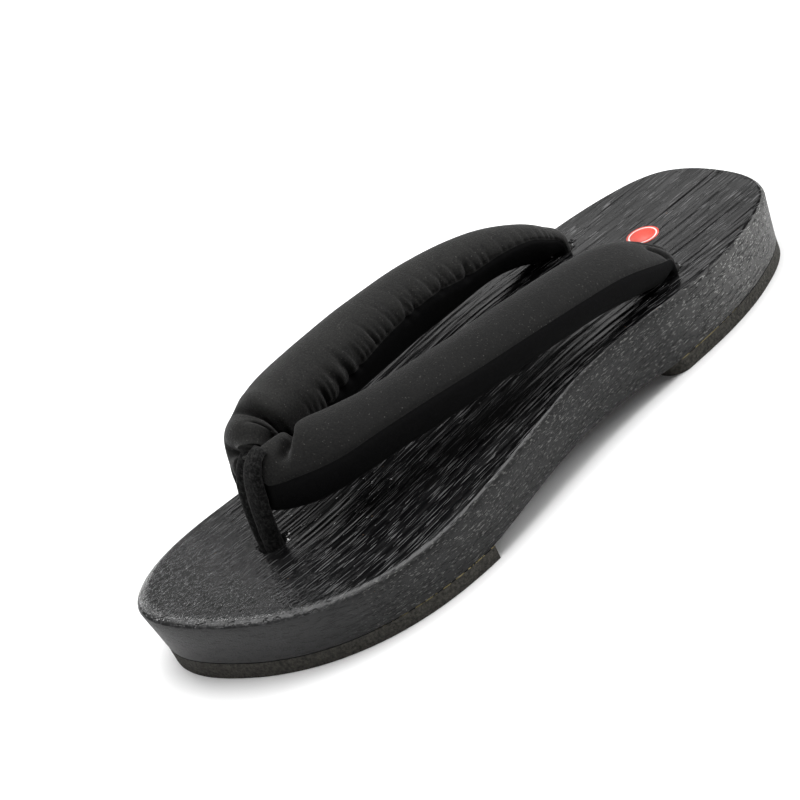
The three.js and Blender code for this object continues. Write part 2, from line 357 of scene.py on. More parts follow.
# How strong the marks are in colour and in relief, and how rough the lacquer is.
LINE_SHARE = 0.12
HIGHLIGHT_DASH_SHARE = 0.88
TOE_SPECKLE_SHARE = 0.15
TOE_DULL_SHARE = 0.25
DULL_SHARE = 0.6
SANDED_PIT_SHARE = 0.3
PLAIN_RIM_WEAR = 0.15
RUBBED_HIGHLIGHT_SHARE = 0.7
POLISHED_ROUGH = 0.16
DULLED_ROUGH = 0.26
SIDE_ROUGH = 0.5
RIM_ROUGH = 0.17
GRIT_RELIEF = 0.5
RIB_RELIEF = 0.5
TOE_RELIEF = 0.3
MARK_DEPTH = 0.32

lacquer, tree, shader = new_finish("black_lacquered_wood")
lines = marks(tree, *LINES)
highlight_dashes = marks(tree, *HIGHLIGHT_DASHES)
bands = marks(tree, *BANDS)
place = add_node(tree, "SeparateXYZ", {0: add_node(tree, "TexCoord").outputs["Object"]})
facing = add_node(tree, "SeparateXYZ", {0: add_node(tree, "TexCoord").outputs["Normal"]})
below = add_node(tree, "Attribute", attribute_name="below_top").outputs["Fac"]
on_top = remap(tree, below, *TOP_SPAN)
on_rim = combine(tree, "MULTIPLY", remap(tree, below, *RIM_UPPER_SPAN), remap(tree, below, *RIM_LOWER_SPAN))
on_toe = remap(tree, place.outputs["Y"], *TOE_SPAN)
on_heel = remap(tree, place.outputs["Y"], *HEEL_SPAN)
dull_toe = combine(tree, "MULTIPLY", on_toe, TOE_DULL_SHARE)
on_ends = combine(tree, "MAXIMUM", dull_toe, combine(tree, "MULTIPLY", on_heel, bands))
pale_lines = combine(tree, "MULTIPLY", lines, LINE_SHARE)
# Painted highlight: the ribs are lighter grey along the grain lines and much lighter on the dashes and toe
# speckle, partly grain and mostly painted glints on the lacquer.
ribs_and_highlights = combine(tree, "ADD", pale_lines, combine(tree, "MULTIPLY", highlight_dashes, HIGHLIGHT_DASH_SHARE))
speckle = marks(tree, *SPECKLE)
ribs_and_highlights = blend_values(tree, on_toe, ribs_and_highlights, combine(tree, "MULTIPLY", speckle, TOE_SPECKLE_SHARE))
polished = blend_colours(tree, ribs_and_highlights, LACQUER_BLACK, LACQUER_GREY_AND_HIGHLIGHT)
dulled = blend_colours(tree, ribs_and_highlights, SIDE_GREY, LACQUER_GREY_AND_HIGHLIGHT)
top_tint = blend_colours(tree, combine(tree, "MULTIPLY", on_ends, DULL_SHARE), polished, dulled)
pores = marks(tree, *PORES)
stipple = marks(tree, *STIPPLE)
end_grain = remap(tree, facing.outputs["Y"], *END_GRAIN_SPAN)
sanded = remap(tree, facing.outputs["Y"], *SANDED_SPAN, 1.0, SANDED_PIT_SHARE)
side_pits = combine(tree, "MULTIPLY", blend_values(tree, end_grain, pores, stipple), sanded)
grit = streaks(tree, GRIT_SIZE, 23.0, 3.0)
# Painted light: the walls are painted lighter at the heel, as lit from the right, and lighter at the toe as
# painted reflection.
side_body_and_light = blend_colours(tree, on_heel, blend_colours(tree, on_toe, SIDE_GREY, TOE_REFLECTION_GREY), HEEL_LIT_GREY)
side_tint = blend_colours(tree, side_pits, side_body_and_light, LACQUER_BLACK)
# Painted glints: short bright flecks on the walls, painted in colour as glints of light, brighter at the
# heel and none on the sanded toe.
glints = combine(
    tree, "MULTIPLY", marks(tree, *GLINT_FLECKS), remap(tree, facing.outputs["Y"], *GLINT_SPAN, 1.0, 0.0))
side_tint = blend_colours(tree, glints, side_tint, blend_colours(tree, on_heel, GLINT_GREY, HEEL_GLINT))
# Rubbed rim: real chips of wear along the rim, and at the toe a painted highlight, lighter grey in broken
# marks.
chips = marks(tree, *CHIPS)
wear_and_highlight = combine(tree, "MULTIPLY", combine(tree, "ADD", on_toe, PLAIN_RIM_WEAR), chips)
rubbed_and_highlit = combine(tree, "MULTIPLY", on_rim, wear_and_highlight)
tint = blend_colours(tree, on_top, side_tint, top_tint)
tint = blend_colours(tree, combine(tree, "MULTIPLY", rubbed_and_highlit, RUBBED_HIGHLIGHT_SHARE), tint, RUBBED_AND_HIGHLIGHT_GREY)
tree.links.new(blend_colours(tree, marks(tree, *SPECKS), tint, BARE_BROWN), shader.inputs["Base Color"])
top_rough = blend_values(tree, on_ends, POLISHED_ROUGH, DULLED_ROUGH)
rough = blend_values(tree, on_top, SIDE_ROUGH, top_rough)
smooth_rim = combine(tree, "MAXIMUM", rubbed_and_highlit, combine(tree, "MULTIPLY", on_rim, on_toe))
tree.links.new(blend_values(tree, smooth_rim, rough, RIM_ROUGH), shader.inputs["Roughness"])
shader.inputs["Specular IOR Level"].default_value = 0.3
side_relief = combine(tree, "SUBTRACT", combine(tree, "MULTIPLY", grit, GRIT_RELIEF), side_pits)
toe_relief = combine(tree, "MULTIPLY", combine(tree, "MULTIPLY", on_toe, speckle), TOE_RELIEF)
top_relief = combine(tree, "ADD", combine(tree, "MULTIPLY", ribs_and_highlights, RIB_RELIEF), toe_relief)
relief = blend_values(tree, on_top, side_relief, top_relief)
bump = add_node(tree, "Bump", {"Height": relief, "Strength": 1.0, "Distance": MARK_DEPTH * MM})
tree.links.new(bump.outputs["Normal"], shader.inputs["Normal"])
wood.data.materials.clear()
wood.data.materials.append(lacquer)
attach(wood, "root")
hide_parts("wood_base")


# Walking pads: a forefoot pad and a heel pad cut from a sheet of granular foam rubber,
# glued under the wood flush with its outline and trimmed with a knife.
PAD_CORNER = 7
CORNER_STEPS = 8
PAD_EDGE_ROUND = 0.3
PAD_EDGE_STEPS = 2
PAD_GROOVE = 0.35
PAD_GROOVE_STEPS = 1
END_GAP = 1
RUBBER_DARK = (0.014, 0.0135, 0.0115, 1)
RUBBER_LIGHT = (0.060, 0.056, 0.048, 1)
GLUE_YELLOW = (0.30, 0.25, 0.12, 1)

# Patterns of the rubber, where the glue shows, and the band under the wood painted black as painted shade of
# the gap: heights up the pad, and distances from the waist.
CRUMB_SIZE = (1.0, 1.0, 1.0)
CRUMB_DEPTH = 0.35
CLOUD_SIZE = (6, 6, 6)
DAB_SIZE = (3, 3, 3)
GLUE_AND_GAP_SHADE_SPAN = ((PAD_THICK - 0.5) * MM, (PAD_THICK - 0.3) * MM)
GLUE_WAIST_SPAN = (85 * MM, 55 * MM)


def corner_arc(centre, start):
    """A quarter round of the pad's front corner, from a start angle in degrees."""
    angles = [math.radians(start + 90 * i / CORNER_STEPS) for i in range(CORNER_STEPS + 1)]
    return [centre + PAD_CORNER * Vector((math.cos(a), math.sin(a))) for a in angles]


def pad_piece(name, node, outline):
    """A slab of rubber on a plan outline, a little worn at its foot and grooved where it is glued."""
    mesh = bmesh.new()
    ring = add_ring(mesh, outline, lambda y: 0)
    foot = mesh.faces.new(ring_corners(ring))
    raised = bmesh.ops.extrude_face_region(mesh, geom=[foot])["geom"]
    lifted = [part for part in raised if isinstance(part, bmesh.types.BMVert)]
    bmesh.ops.translate(mesh, verts=lifted, vec=(0, 0, PAD_THICK * MM))
    worn = (0, PAD_EDGE_ROUND, PAD_EDGE_STEPS)
    glued = (PAD_THICK, PAD_GROOVE, PAD_GROOVE_STEPS)
    for level, width, steps in (worn, glued):
        edges = [edge for edge in mesh.edges
                 if all(abs(corner.co.z - level * MM) < TOUCH for corner in edge.verts)]
        bmesh.ops.bevel(
            mesh, geom=edges, offset=width * MM, offset_type="OFFSET", segments=steps, profile=0.5,
            affect="EDGES", material=-1)
    glued_face = max(mesh.faces, key=lambda face: face.calc_center_median().z)
    cut_in_strips(mesh, glued_face, ALONG, -half_long, half_long, RUNG_STEP)
    for corner in mesh.verts:
        if corner.co.z > PAD_THICK / 2 * MM:
            corner.co.z += (underside(corner.co.y / MM) - PAD_THICK) * MM
    piece = to_object(name, mesh, smooth=False)
    piece.data.materials.append(rubber)
    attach(piece, "root")
    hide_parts(node)


rubber, tree, shader = new_finish("foam_rubber")
crumbs = streaks(tree, CRUMB_SIZE, 2.0, 3.0, 0.75)
clouds = streaks(tree, CLOUD_SIZE, 8.0, 2.0)
place = add_node(tree, "SeparateXYZ", {0: add_node(tree, "TexCoord").outputs["Object"]})
toe_lift = remap(tree, place.outputs["Y"], TOE_LIFT_FROM * MM, (TOE_LIFT_FROM - TOE_LIFT_RUN) * MM)
toe_lift = combine(tree, "MULTIPLY", combine(tree, "POWER", toe_lift, 2.0), TOE_LIFT * MM)
level = combine(tree, "SUBTRACT", place.outputs["Z"], toe_lift)
under_wood = remap(tree, level, *GLUE_AND_GAP_SHADE_SPAN)
dabs = remap(tree, streaks(tree, DAB_SIZE, 15.0, 3.0, 0.7), 0.47, 0.55)
from_waist = add_node(tree, "Math", {0: place.outputs["Y"]}, operation="ABSOLUTE").outputs[0]
near_waist = remap(tree, from_waist, *GLUE_WAIST_SPAN)
glue = combine(tree, "MULTIPLY", under_wood, combine(tree, "MULTIPLY", dabs, near_waist))
crumb_and_shade_tint = blend_colours(tree, remap(tree, crumbs, 0.36, 0.66), RUBBER_DARK, RUBBER_LIGHT)
# Painted shade: the top of the pad, under the wood, is painted black as the shade in the gap between pad and
# wood.
crumb_and_shade_tint = blend_colours(tree, under_wood, crumb_and_shade_tint, LACQUER_BLACK)
tree.links.new(blend_colours(tree, glue, crumb_and_shade_tint, GLUE_YELLOW), shader.inputs["Base Color"])
tree.links.new(remap(tree, clouds, 0.3, 0.7, 0.82, 0.98), shader.inputs["Roughness"])
shader.inputs["Specular IOR Level"].default_value = 0.3
bump = add_node(tree, "Bump", {"Height": crumbs, "Strength": 0.9, "Distance": CRUMB_DEPTH * MM})
tree.links.new(bump.outputs["Normal"], shader.inputs["Normal"])

pad_plan = pulled_in(plan, rake)
end_outer, end_inner = edge_rows(outline_turn(FOREFOOT_PAD_END))
outer_front = [p for p in pad_plan[:EDGE_STATIONS] if p.y < FOREFOOT_PAD_END - END_GAP]
inner_front = [p for p in pad_plan[EDGE_STATIONS:] if p.y < FOREFOOT_PAD_END - END_GAP]
pad_back = [Vector((end_outer, FOREFOOT_PAD_END)), Vector((end_inner, FOREFOOT_PAD_END))]
pad_piece("forefoot_rubber", "forefoot_pad", outer_front + pad_back + inner_front)

corner_y = HEEL_PAD_FRONT + PAD_CORNER
heel_outer, heel_inner = edge_rows(outline_turn(corner_y))
front_corners = corner_arc(Vector((heel_inner + PAD_CORNER, corner_y)), 180)
front_corners += corner_arc(Vector((heel_outer - PAD_CORNER, corner_y)), 270)
heel_back = [p for p in pad_plan if p.y > corner_y + END_GAP]
pad_piece("heel_rubber", "heel_pad", front_corners + heel_back)


# Strap: one stuffed tube of soft cloth with a velvet lining sewn to it along both edges.
# It rises from the outer rear hole, folds round the thong at the front and goes back to the inner rear hole.
STRAP_STATIONS = 620
STRAP_SIDES = 100
STRAP_GIRTH = 64
SEAM_WIDTH = 0.9
SEAM_DEPTH = 0.5
TAIL_PLAIN = 8
TAIL_FULL = 24
CREASE_REACH = 8
GATHER_WIDTH = 0.65
GATHER_REACH = 3
GATHER_LEAN = 0.2
GATHER_SHIFT = 0.7
GATHER_SPREAD = 0.6
SLACK = 0.3
SLACK_RUN = 17

# Sections along the strap: centre, width, thickness, where its face looks, as a bearing in plan from
# the outer side and a rise above the level, in degrees, and how full the lining side is.
STRAP = [
    (23.9, 68.4, 9, 7.4, 7, 80, 0, 1),
    (23.9, 68.4, 25.8, 7.8, 7, 80, 0, 1),
    (24.2, 66.6, 29.3, 12, 9.5, 70, 30, 1),
    (24.8, 61, 32.6, 17.5, 12.5, 45, 50, 1),
    (25.2, 51, 37.3, 20.5, 15, 10, 58, 1),
    (25, 36, 41, 21.5, 16.5, 0, 64, 0.95),
    (23, 12, 43, 21.5, 17.5, 0, 68, 0.95),
    (18.8, -12, 43, 21.5, 18, 0, 66, 0.92),
    (12.5, -35, 42.4, 22, 18, -5, 58, 0.78),
    (4.5, -54, 41.2, 23.5, 17, -10, 42, 0.7),
    (-2, -65, 40, 23.5, 14, -25, 26, 0.8),
    (-5.8, -71.4, 40.2, 21.5, 10.5, -50, 18, 1),
    (-9.8, -74.4, 41.2, 21, 10, -88, 16, 1),
    (-14.6, -73.2, 42.6, 23, 12, -118, 22, 1),
    (-20.2, -66.3, 47, 24, 15.8, -155, 48, 1.1),
    (-21.2, -56, 49.8, 23.5, 19, -175, 82, 1.3),
    (-24.6, -38, 48.9, 23.5, 20.4, -180, 94, 1.5),
    (-28.6, -12, 47.4, 23, 20, -180, 92, 1.5),
    (-29.6, 15, 45.4, 22.5, 18.8, -180, 84, 1.36),
    (-28.6, 37, 42, 21.5, 16.5, -180, 74, 1.15),
    (-27, 50, 37, 20, 14.5, -195, 62, 1),
    (-26, 58.6, 32.2, 16.5, 12, -225, 50, 1),
    (-25.3, 64.2, 29.3, 11.5, 9, -255, 28, 1),
    (-25.2, 65.8, 26, 7.8, 7, -260, 0, 1),
    (-25.2, 65.8, 9, 7.4, 7, -260, 0, 1),
]

# Where the cloth and the lining are sewn together: length along the strap, then the angle round the
# section of the outer seam and of the inner seam.
SEAMS = [
    (0, 40, 215),
    (22, 48, 218),
    (36, 50, 220),
    (60, 41, 221),
    (90, 41, 222),
    (113, 49, 226),
    (133, 57, 232),
    (146, 63, 235),
    (159, 79, 235),
    (168, 85, 235),
    (177, 86, 232),
    (188, 62, 226),
    (200, 42, 218),
    (212, 30, 211),
    (219, 24, 197),
    (234, 18, 187),
    (250, 16, 181),
    (268, 15, 181),
    (284, 15, 192),
    (299, 15, 190),
    (344, 15, 190),
]

# Creases of the cloth: width, then the run of the crease as length, angle and depth.
CREASES = [
    (0.95, [(191.5, 94, 0), (191.9, 110, 2.4), (192.5, 135, 4.2),
            (193.4, 160, 4.8), (193.7, 190, 5), (193, 235, 2)]),
    (1.25, [(184, 94, 0), (182, 104, 3.2), (179.5, 126, 4.4),
            (177.5, 136, 4.2), (174, 155, 4.2), (171, 185, 3)]),
    (1.7, [(162.4, 112, 0), (161, 121, 3.6), (158.6, 138, 5.2),
           (157, 152, 5), (156, 190, 4.5), (156, 235, 2)]),
    (1.0, [(187, 148, 0), (189, 168, 1.2), (189.8, 195, 1.6)]),
    (0.9, [(30.5, 95, 0), (28.7, 89, 1.6), (25.7, 79, 2.2), (22.7, 55, 1.6)]),
    (0.9, [(34, 124, 0), (29, 116, 1.0), (24, 104, 1.5), (20, 84, 1.2)]),
    (1.3, [(281.2, 190, 1.3), (281.8, 172, 1.3), (282.5, 146, 0)]),
    (1.1, [(270, 182, 1.0), (271.5, 164, 0.9), (273.5, 140, 0)]),
    (1.0, [(258, 180, 0.9), (258.5, 160, 0.9), (260, 134, 0)]),
    (1.0, [(253.5, 181, 0.9), (254.2, 160, 0.9), (256, 128, 0)]),
    (1.0, [(229, 189, 0.8), (228.5, 170, 0.8), (228, 140, 0)]),
    (1.2, [(224.2, 193, 1.1), (222.6, 165, 1.1), (221.8, 122, 0)]),
    (1.1, [(218.8, 197, 1.0), (217, 170, 0.9), (215.5, 138, 0)]),
    (1.1, [(213, 208, 0.9), (210.5, 180, 0.8), (208, 150, 0)]),
]

# Swellings of the stuffing between the creases: length, angle, half length, half angle, height.
SWELLINGS = [
    (186.5, 135, 3.6, 50, 2.0),
    (175.5, 152, 4.5, 15, 2.4),
    (195.6, 132, 3.0, 40, 2.6),
    (202, 132, 6.0, 42, 0.9),
    (151, 150, 5.0, 40, 0.8),
    (166, 150, 3.0, 30, 0.5),
]

# Small gathers of the cloth on the inner seam: first, last, spacing, run up the cloth, depth.
GATHERS = [
    (24, 150, 5.3, 5.0, 0.3),
    (204, 238, 2.6, 7.0, 0.5),
    (238, 250, 2.9, 6.0, 0.5),
    (250, 276, 2.6, 7.0, 0.5),
    (276, 322, 3.0, 6.0, 0.42),
]


class StuffedPath:
    """The middle line of a stuffed tube and its section at any length along it. Millimetres."""

    def __init__(self, rows):
        places = [Vector(row[:3]) for row in rows]
        keys = np.cumsum([0] + [math.sqrt((b - a).length) for a, b in zip(places, places[1:])])
        self.read = smooth_rows([(key, *row) for key, row in zip(keys, rows)])
        self.keys = np.linspace(keys[0], keys[-1], 2000)
        points = np.array([self.read(key)[:3] for key in self.keys])
        self.lengths = np.cumsum([0, *np.linalg.norm(np.diff(points, axis=0), axis=1)])
        self.length = self.lengths[-1]

    def section(self, length):
        """Centre, across direction, face direction, half width, and half thickness of face and lining."""
        key = np.interp(length, self.lengths, self.keys)
        x, y, z, wide, thick, bearing, rise, fullness = self.read(key)
        reach = 1e-3
        ahead = Vector(self.read(key + reach)[:3] - self.read(key - reach)[:3]).normalized()
        turn, lift = math.radians(bearing), math.radians(rise)
        face = Vector((math.cos(lift) * math.cos(turn), math.cos(lift) * math.sin(turn), math.sin(lift)))
        face = (face - ahead * face.dot(ahead)).normalized()
        return Vector((x, y, z)), face.cross(ahead), face, wide / 2, thick / 2, fullness * thick / 2


def wrapped_tube(path, stations, sides, angle_at, lift):
    """A closed tube along a path. Lift gives how far a point stands out of the plain oval section,
    by length, angle and share of the way round."""
    mesh = bmesh.new()
    bmesh.ops.create_grid(mesh, x_segments=stations, y_segments=sides, size=0.5)
    mapping = mesh.loops.layers.uv.new("cloth")
    for face in mesh.faces:
        for loop in face.loops:
            loop[mapping].uv = (loop.vert.co.x + 0.5, loop.vert.co.y + 0.5)
    sections = [path.section(path.length * i / stations) for i in range(stations + 1)]
    for corner in mesh.verts:
        station = round((corner.co.x + 0.5) * stations)
        share = corner.co.y + 0.5
        length = path.length * station / stations
        degrees = angle_at(length, share) % 360
        angle = math.radians(degrees)
        centre, across, face, half_width, half_face, half_lining = sections[station]
        half_thick = half_face if degrees <= 180 else half_lining
        out = across * half_width * math.cos(angle) + face * half_thick * math.sin(angle)
        normal = across * math.cos(angle) / half_width + face * math.sin(angle) / half_thick
        corner.co = (centre + out + normal.normalized() * lift(length, degrees, share)) * MM
    bmesh.ops.remove_doubles(mesh, verts=mesh.verts[:], dist=TOUCH)
    bmesh.ops.holes_fill(mesh, edges=[edge for edge in mesh.edges if edge.is_boundary])
    return mesh


def bell(distance, width):
    """1 at no distance, falling to nothing smoothly over the width."""
    return math.exp(-((distance / width) ** 2))


def ease(low, high, value):
    """0 below low, 1 above high, smooth in between."""
    t = min(max((value - low) / (high - low), 0), 1)
    return t * t * (3 - 2 * t)


strap_path = StuffedPath(STRAP)
seam_rows = smooth_rows(SEAMS)
DEGREE_RUN = STRAP_GIRTH / 360


def strap_angle(length, share):
    """Angle round the section: the cloth is the first half of the way round, the lining the second."""
    outer_seam, inner_seam = seam_rows(length)
    if share <= 0.5:
        return outer_seam + (inner_seam - outer_seam) * share * 2
    return inner_seam + (outer_seam + 360 - inner_seam) * (share * 2 - 1)


def crease_depth(run, width, length, angle):
    """How far a crease pulls the cloth in at a place on the strap."""
    here = Vector((length, angle * DEGREE_RUN))
    deepest = 0
    for (s0, a0, d0), (s1, a1, d1) in zip(run, run[1:]):
        start, along = Vector((s0, a0 * DEGREE_RUN)), Vector((s1 - s0, (a1 - a0) * DEGREE_RUN))
        share = min(max((here - start).dot(along) / along.length_squared, 0), 1)
        gap = (here - start - along * share).length
        deepest = max(deepest, (d0 + (d1 - d0) * share) * bell(gap, width))
    return deepest


gathers = []
for first, last, spacing, run, depth in GATHERS:
    for i in range(int((last - first) / spacing) + 1):
        chance = noise.noise(Vector((first + 1.37 * i, 0.5, 0.5)))
        gathers.append((
            first + spacing * (i + GATHER_SHIFT * chance), run * (1 + GATHER_SPREAD * chance),
            depth * (1 + chance)))


def strap_lift(length, angle, share):
    """How far the skin stands out: seams, creases, swellings, gathers and slack, plain at the tails."""
    to_tail = strap_path.length - length
    filled = ease(TAIL_PLAIN, TAIL_FULL, length) * ease(TAIL_PLAIN, TAIL_FULL, to_tail)
    from_seam = min(share, abs(share - 0.5), 1 - share) * STRAP_GIRTH
    lift = -SEAM_DEPTH * bell(from_seam, SEAM_WIDTH)
    for width, run in CREASES:
        first, last = sorted((run[0][0], run[-1][0]))
        if first - CREASE_REACH < length < last + CREASE_REACH:
            lift -= crease_depth(run, width, length, angle)
    for place, middle, half_length, half_angle, height in SWELLINGS:
        lift += height * bell(length - place, half_length) * bell(angle - middle, half_angle)
    up_the_cloth = (0.5 - share) * STRAP_GIRTH
    if up_the_cloth > 0:
        for place, run, depth in gathers:
            from_gather = length - place + GATHER_LEAN * up_the_cloth
            if abs(from_gather) < GATHER_REACH:
                lift -= depth * bell(up_the_cloth, run) * bell(from_gather, GATHER_WIDTH)
    turn = math.radians(angle)
    slack = noise.noise(Vector((length / SLACK_RUN, math.cos(turn), math.sin(turn))))
    return (lift + SLACK * slack) * filled


strap_mesh = wrapped_tube(strap_path, STRAP_STATIONS, STRAP_SIDES, strap_angle, strap_lift)
for face in strap_mesh.faces:
    around = np.mean([loop[strap_mesh.loops.layers.uv.active].uv.y for loop in face.loops])
    face.material_index = int(around > 0.5)

# The thong draws a groove into the front of the fold, and its shoulders are smoothed. The groove's floor
# is the thong's back, by height. Its sides are told in half widths of the thong from its middle.
THONG_BACK = smooth_rows([
    (20, -77.4), (27, -77.4), (38, -75.8), (43, -74.9), (46, -74.0), (49, -72.0), (51, -70.8)])
THONG_MIDDLE = -8.5
THONG_DRIFT = 1.5
DRIFT_FROM = 36
DRIFT_TO = 46
THONG_HALF = 4.9
FOLD_BACK = -60
GROOVE_TOP = 49.3
GROOVE_FADE = 0.6
GROOVE_FLOOR = 0.95
GROOVE_EDGE = 1.4
SHOULDER_BACK = -62
SHOULDER_TOP = 48.3
SHOULDER_NEAR = 0.6
SHOULDER_FAR = 2.1
SHOULDER_ROUNDS = 3
for corner in strap_mesh.verts:
    place = corner.co / MM
    middle = THONG_MIDDLE + THONG_DRIFT * ease(DRIFT_FROM, DRIFT_TO, place.z)
    beside = abs(place.x - middle) / THONG_HALF
    if place.y < FOLD_BACK and beside < GROOVE_EDGE and place.z < GROOVE_TOP + GROOVE_FADE:
        back = float(THONG_BACK(place.z)[0])
        hold = 1 - ease(GROOVE_FLOOR, GROOVE_EDGE, beside)
        hold *= 1 - ease(GROOVE_TOP - GROOVE_FADE, GROOVE_TOP + GROOVE_FADE, place.z)
        corner.co.y += max(0, back - place.y) * hold * MM
shoulders = [
    corner for corner in strap_mesh.verts
    if corner.co.y < SHOULDER_BACK * MM and corner.co.z < SHOULDER_TOP * MM
    and SHOULDER_NEAR < abs(corner.co.x / MM - THONG_MIDDLE) / THONG_HALF < SHOULDER_FAR]
for _ in range(SHOULDER_ROUNDS):
    bmesh.ops.smooth_vert(
        strap_mesh, verts=shoulders, factor=0.5, use_axis_x=True, use_axis_y=True, use_axis_z=True)
strap = to_object("stuffed_strap", strap_mesh)

CLOTH_GREY = (0.005, 0.005, 0.0052, 1)
CLOTH_WARM = (0.017, 0.0167, 0.0156, 1)
CLOTH_PALE = (0.0185, 0.0182, 0.017, 1)
LINT_GREY = (0.07, 0.068, 0.064, 1)
VELVET_BLACK = (0.002, 0.002, 0.0022, 1)

# Patterns of the cloth and the lining, and where across the foot the outer arm is painted darker as painted
# shade.
NAP_SIZE = (0.65, 0.65, 0.65)
NAP_DEPTH = 0.3
BLOOM_SIZE = (9, 9, 9)
BLOOM_SHARE = 0.35
LINT = ((0.55, 0.55, 0.55), 12.0, 1.0, 0.69, 0.76)
OUTER_ARM_SHADE_SPAN = (-10 * MM, 12 * MM)
OUTER_ARM_SHADE_SHARE = 0.55
PILE_SIZE = (0.6, 0.6, 0.6)
PILE_DEPTH = 0.2

cloth, tree, shader = new_finish("strap_cloth")
nap = streaks(tree, NAP_SIZE, 4.0, 3.0, 0.8)
bloom = streaks(tree, BLOOM_SIZE, 1.0, 2.0)
lint = marks(tree, *LINT)
woven = blend_colours(tree, remap(tree, nap, 0.40, 0.62), CLOTH_GREY, CLOTH_WARM)
woven = blend_colours(tree, remap(tree, bloom, 0.35, 0.65, 0.0, BLOOM_SHARE), woven, CLOTH_PALE)
place = add_node(tree, "SeparateXYZ", {0: add_node(tree, "TexCoord").outputs["Object"]})
# Painted shade: the outer arm of the strap, towards the outer side, is painted darker where less light falls
# on it.
outer_arm_shade = remap(tree, place.outputs["X"], *OUTER_ARM_SHADE_SPAN, 0.0, OUTER_ARM_SHADE_SHARE)
woven = blend_colours(tree, outer_arm_shade, woven, CLOTH_GREY)
tree.links.new(blend_colours(tree, lint, woven, LINT_GREY), shader.inputs["Base Color"])
shader.inputs["Roughness"].default_value = 0.85
shader.inputs["Specular IOR Level"].default_value = 0.2
shader.inputs["Sheen Weight"].default_value = 0.12
shader.inputs["Sheen Roughness"].default_value = 0.4
bump = add_node(tree, "Bump", {"Height": nap, "Strength": 0.9, "Distance": NAP_DEPTH * MM})
tree.links.new(bump.outputs["Normal"], shader.inputs["Normal"])

velvet, tree, shader = new_finish("velvet_lining")
pile = streaks(tree, PILE_SIZE, 7.0, 4.0, 0.7)
pile_tint = blend_colours(tree, remap(tree, pile, 0.45, 0.9), VELVET_BLACK, CLOTH_GREY)
tree.links.new(pile_tint, shader.inputs["Base Color"])
shader.inputs["Roughness"].default_value = 0.95
shader.inputs["Specular IOR Level"].default_value = 0.1
bump = add_node(tree, "Bump", {"Height": pile, "Strength": 0.7, "Distance": PILE_DEPTH * MM})
tree.links.new(bump.outputs["Normal"], shader.inputs["Normal"])
strap.data.materials.append(cloth)
strap.data.materials.append(velvet)
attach(strap, "root")
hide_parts("strap_upper")


# Toe thong: a strip of black felt folded round a cord and sewn along one edge.
# It is pulled through the front hole, and the fold of the strap sits on its upper end.
THONG_STATIONS = 90
THONG_SIDES = 64
WELT_ANGLE = 30
WELT_WIDTH = 16
WELT_HEIGHT = 1.0
STITCH_ANGLE = 62
STITCH_WIDTH = 9
STITCH_DEPTH = 0.9
FUZZ_RUN = 1.6
FUZZ_TURNS = 3
FUZZ_HEIGHT = 0.14
FUZZ_SIZE = (0.8, 0.8, 1.2)
FUZZ_DEPTH = 0.35
FELT_PALE_AND_SHEEN = (0.034, 0.034, 0.033, 1)

# Sections along the thong, in the same columns as the strap's.
THONG = [
    (-8.6, -81.3, 8, 7, 6.2, -70, 0, 1),
    (-8.6, -81.3, 19, 7.4, 6.2, -70, 0, 1),
    (-8.6, -80.6, 27, 8.4, 5.2, -72, 5, 1),
    (-8.3, -78.9, 38, 9.6, 4.4, -74, 10, 1),
    (-7.2, -77.0, 45.6, 8.6, 4.2, -76, 18, 1),
    (-6.9, -74.6, 49.2, 8, 3.6, -78, 45, 1),
    (-7.2, -71.0, 50.6, 7.4, 3, -80, 80, 1),
]

thong_path = StuffedPath(THONG)


def thong_lift(length, angle, share):
    """How far the felt stands out: a sewn welt along one edge, a stitched line beside it, and fuzz."""
    turn = math.radians(angle)
    fuzz = noise.noise(Vector((length / FUZZ_RUN, FUZZ_TURNS * math.cos(turn), FUZZ_TURNS * math.sin(turn))))
    welt = WELT_HEIGHT * bell(angle - WELT_ANGLE, WELT_WIDTH)
    stitched = STITCH_DEPTH * bell(angle - STITCH_ANGLE, STITCH_WIDTH)
    return welt - stitched + FUZZ_HEIGHT * fuzz


thong = to_object("felt_thong", wrapped_tube(
    thong_path, THONG_STATIONS, THONG_SIDES, lambda length, share: 360 * share, thong_lift))
felt, tree, shader = new_finish("black_felt")
fuzz = streaks(tree, FUZZ_SIZE, 6.0, 4.0, 0.8)
# Painted sheen: the pale fuzz of the felt is partly the felt's own fibres and partly painted sheen of light
# on them.
felt_and_sheen_tint = blend_colours(tree, remap(tree, fuzz, 0.46, 0.70), VELVET_BLACK, FELT_PALE_AND_SHEEN)
tree.links.new(felt_and_sheen_tint, shader.inputs["Base Color"])
shader.inputs["Roughness"].default_value = 1.0
shader.inputs["Specular IOR Level"].default_value = 0.1
shader.inputs["Sheen Weight"].default_value = 0.08
bump = add_node(tree, "Bump", {"Height": fuzz, "Strength": 0.9, "Distance": FUZZ_DEPTH * MM})
tree.links.new(bump.outputs["Normal"], shader.inputs["Normal"])
thong.data.materials.append(felt)
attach(thong, "root")
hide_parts("toe_thong")


# Size dot: a round paper label, red with a thin white ring, left blank in the middle.
# It is stuck to the footbed at the heel, over the grain.
DOT_AT = (-0.8, 82.4)
DOT_RADIUS = 5.65
DOT_THICK = 0.14
DOT_LIFT = 0.03
DOT_SIDES = 64
DOT_STRIP = 1
RING_RADIUS = 4.75
RING_WIDTH = 0.32
DOT_RED = (0.64, 0.07, 0.048, 1)
DOT_WHITE = (0.85, 0.80, 0.78, 1)
FIBRE_SIZE = (0.4, 2.5, 0.4)
FIBRE_DEPTH = 0.1

